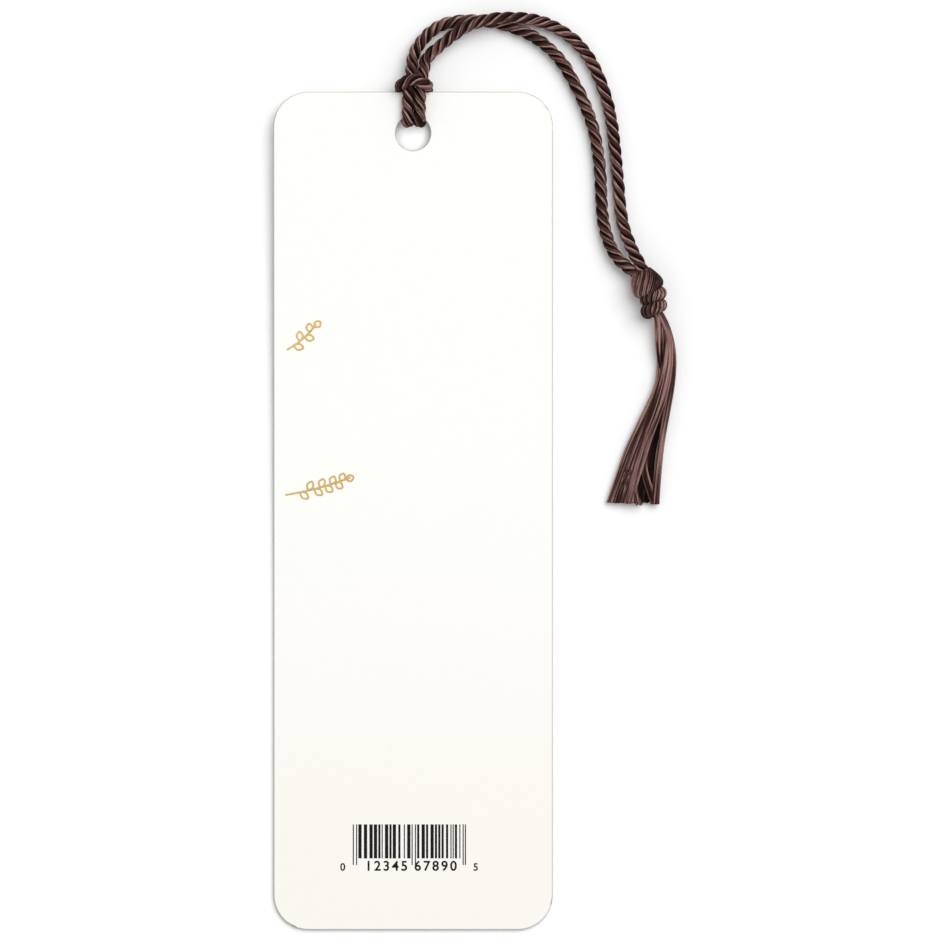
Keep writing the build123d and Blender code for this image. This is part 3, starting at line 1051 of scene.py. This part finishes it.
class BOOKMARK_OT_cord(Operator):
    """Twist the cord: the hitch round the card's edge and its two legs to the knot"""
    bl_idname = "bookmark.cord"
    bl_label = "Cord"

    # A stretch past the legs' exits, which is added to each leg's first point below but not used
    let_go = Vector((1.0, 0.8, 0.0)).normalized() * 6.2 * MM

    def execute(self, context):
        settings = context.scene.bookmark_cord
        inner = [from_edge(*place) for place in INNER_ROUTE]
        outer = [from_edge(*place) for place in OUTER_ROUTE]
        bight = from_head(HITCH_MIDDLES[1], *BIGHT_MIDDLE)
        line = smooth(inner[::-1] + hitch_half(-1) + [bight] + hitch_half(1)[::-1] + outer)
        leave = nearest(line, inner[0])
        back = nearest(line, outer[0])
        whole = run_length(line)
        cuts = [0.0, run_length(line[:leave + 1]) / whole, run_length(line[:back + 1]) / whole, 1.0]
        pieces = []
        for name, start, end in zip(("inner_cord", "hitch_rope", "outer_cord"), cuts, cuts[1:]):
            piece = twisted(name, line, {
                "Diameter": settings.diameter * settings.fullness, "Lead": settings.lead,
                "Step": settings.step, "Looseness": settings.looseness, "Painted Light": 1.0,
                "From": start, "To": end, "Seed": settings.seed,
            })
            pieces.append(piece)
        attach(pieces[1], "card")
        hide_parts("hitch_cord")
        hanging = ("head_floss", "core_floss", "winding_rope", "floss_skirt")
        tassel = [bpy.data.objects[name] for name in hanging]
        legs = [
            (pieces[0], "inner_leg", line[leave::-1], []),
            (pieces[2], "outer_leg", line[back:], tassel),
        ]
        for piece, node, path, hung in legs:
            path[0] + self.let_go
            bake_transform(piece)
            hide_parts(node)
        return {"FINISHED"}


class BOOKMARK_OT_knot(Operator):
    """Wrap the knot: floss over its head, its core, and the cord wound round the core"""
    bl_idname = "bookmark.knot"
    bl_label = "Knot"

    # Turn of the strands in radians a metre, the side of the head painted paler as a highlight, and how
    # thick strands are here
    head_turn, core_turn = 340.0, 60.0
    painted_highlight_side = Vector((-190.0, -80.0, 0.0))
    thicker = 1.15

    # Points of the winding's line before and after its passes, where its ends tuck down
    tucked = 2

    def execute(self, context):
        cord = context.scene.bookmark_cord
        strands = context.scene.bookmark_tassel.head_strands
        head_lean = KNOT_LEAN + HEAD_LEAN
        head = {"Strands": strands, "Lean": self.head_turn, "Glow": self.painted_highlight_side}
        core = {"Strands": strands // 2, "Lean": self.core_turn, "Glow": Vector()}
        self.wrap("head_floss", "knot_head", HEAD_MERIDIAN, head_lean, head)
        self.wrap("core_floss", "knot_core", CORE_MERIDIAN, KNOT_LEAN, core)
        winding = twisted("winding_rope", smooth(self.winding_route()), {
            "Diameter": cord.winding_diameter, "Lead": cord.winding_lead, "Step": cord.winding_step,
            "Looseness": cord.winding_looseness, "Painted Light": cord.winding_painted_light,
            "From": 0.0, "To": 1.0, "Seed": cord.winding_seed,
        })
        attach(winding, "tassel")
        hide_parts("knot_winding")
        return {"FINISHED"}

    def wrap(self, name, node, meridian, lean, own):
        settings = bpy.context.scene.bookmark_tassel
        middle = knot_place(*HEAD_MIDDLE)
        down, side = axis_and_side(lean)
        line = smooth([middle + (down * along + side * out) * MM for along, out in meridian])
        values = {
            "Diameter": settings.strand_diameter * self.thicker, "Centre": middle, "Axis": down,
            "Looseness": settings.head_looseness, "Seed": settings.seed,
            "Material": floss_material("floss_rayon", FLOSS_BUMP), **own,
        }
        piece = grown(name, shared("Wrapped Floss", wrapped_tree), lines_mesh([line]), values)
        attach(piece, "tassel")
        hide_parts(node)

    def winding_route(self):
        """Half turns of cord from the foot up to the head, with ends that tuck down behind."""
        middle = from_edge(*WINDING_MIDDLE)
        down, side = axis_and_side(WINDING_LEAN)
        route = []
        for step in range(-self.tucked, WINDING_PASSES * POINTS_PER_PASS + self.tucked + 1):
            half_turns = step / POINTS_PER_PASS
            angle = half_turns * tau / 2
            spoke = Vector((0.0, 0.0, sin(angle))) - side * cos(angle)
            rise = down * WINDING_STEP * (WINDING_PASSES / 2 - half_turns)
            route.append(middle + (spoke * WINDING_RADIUS + rise) * MM)
        return route


class BOOKMARK_OT_skirt(Operator):
    """Comb the tassel's skirt of floss"""
    bl_idname = "bookmark.skirt"
    bl_label = "Skirt"

    # Two places along the skirt, at the knot's foot and further down, that nothing here uses
    swing_from = 34.9
    swing_free = 29.0

    def execute(self, context):
        settings = context.scene.bookmark_tassel
        lines = []
        facts = {"width": [], "thickness": [], "strands": [], "shade": [], "foot": [], "bundle": []}
        for number, (strands, shade, stations) in enumerate(SKIRT_BUNDLES):
            line = smooth([Vector(station[:3]) * MM for station in stations])
            girth = smooth([(station[3] * MM, station[4] * MM, 0.0) for station in stations])
            lines.append(line)
            facts["width"] += [size.x for size in girth]
            facts["thickness"] += [size.y for size in girth]
            whole = {"strands": strands, "shade": shade, "foot": stations[-1][1] * MM, "bundle": number}
            for label, value in whole.items():
                facts[label] += [value] * len(line)
        mesh = lines_mesh(lines)
        for label, numbers in facts.items():
            mesh.attributes.new(label, "FLOAT", "POINT").data.foreach_set("value", numbers)
        values = {
            "Points": settings.points, "Diameter": settings.strand_diameter, "Waviness": settings.waviness,
            "Uneven Ends": settings.uneven_ends, "Seed": settings.seed,
            "Material": floss_material("floss_rayon", FLOSS_BUMP),
        }
        skirt = grown("floss_skirt", shared("Combed Floss", combed_tree), mesh, values)
        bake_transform(skirt)
        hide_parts(*[f"floss_lock_{number}" for number in range(1, 8)])
        return {"FINISHED"}


class BOOKMARK_PT_sidebar(Panel):
    """The bookmark's pieces and their settings"""
    bl_label = "Bookmark"
    bl_space_type = "VIEW_3D"
    bl_region_type = "UI"
    bl_category = "Bookmark"

    def draw(self, context):
        for operator in OPERATORS:
            self.layout.operator(operator.bl_idname)
        for name, group in SETTINGS.items():
            box = self.layout.box()
            box.label(text=name.replace("_", " ").title())
            for label in group.__annotations__:
                box.prop(getattr(context.scene, name), label)


SETTINGS = {
    "bookmark_card": BookmarkCardSettings,
    "bookmark_print": BookmarkPrintSettings,
    "bookmark_cord": BookmarkCordSettings,
    "bookmark_tassel": BookmarkTasselSettings,
    "bookmark_stage": BookmarkStageSettings,
}
OPERATORS = [
    BOOKMARK_OT_stage,
    BOOKMARK_OT_card,
    BOOKMARK_OT_knot,
    BOOKMARK_OT_skirt,
    BOOKMARK_OT_cord,
    BOOKMARK_OT_print,
]


def register():
    for kind in [*SETTINGS.values(), *OPERATORS, BOOKMARK_PT_sidebar]:
        bpy.utils.register_class(kind)
    for name, group in SETTINGS.items():
        setattr(bpy.types.Scene, name, PointerProperty(type=group))


def unregister():
    for name in SETTINGS:
        delattr(bpy.types.Scene, name)
    for kind in [BOOKMARK_PT_sidebar, *OPERATORS[::-1], *SETTINGS.values()]:
        bpy.utils.unregister_class(kind)


def main():
    register()
    bpy.ops.bookmark.stage()
    bpy.ops.bookmark.card()
    bpy.ops.bookmark.knot()
    bpy.ops.bookmark.skirt()
    bpy.ops.bookmark.cord()
    bpy.ops.bookmark.print()


if __name__ == "__main__":
    main()
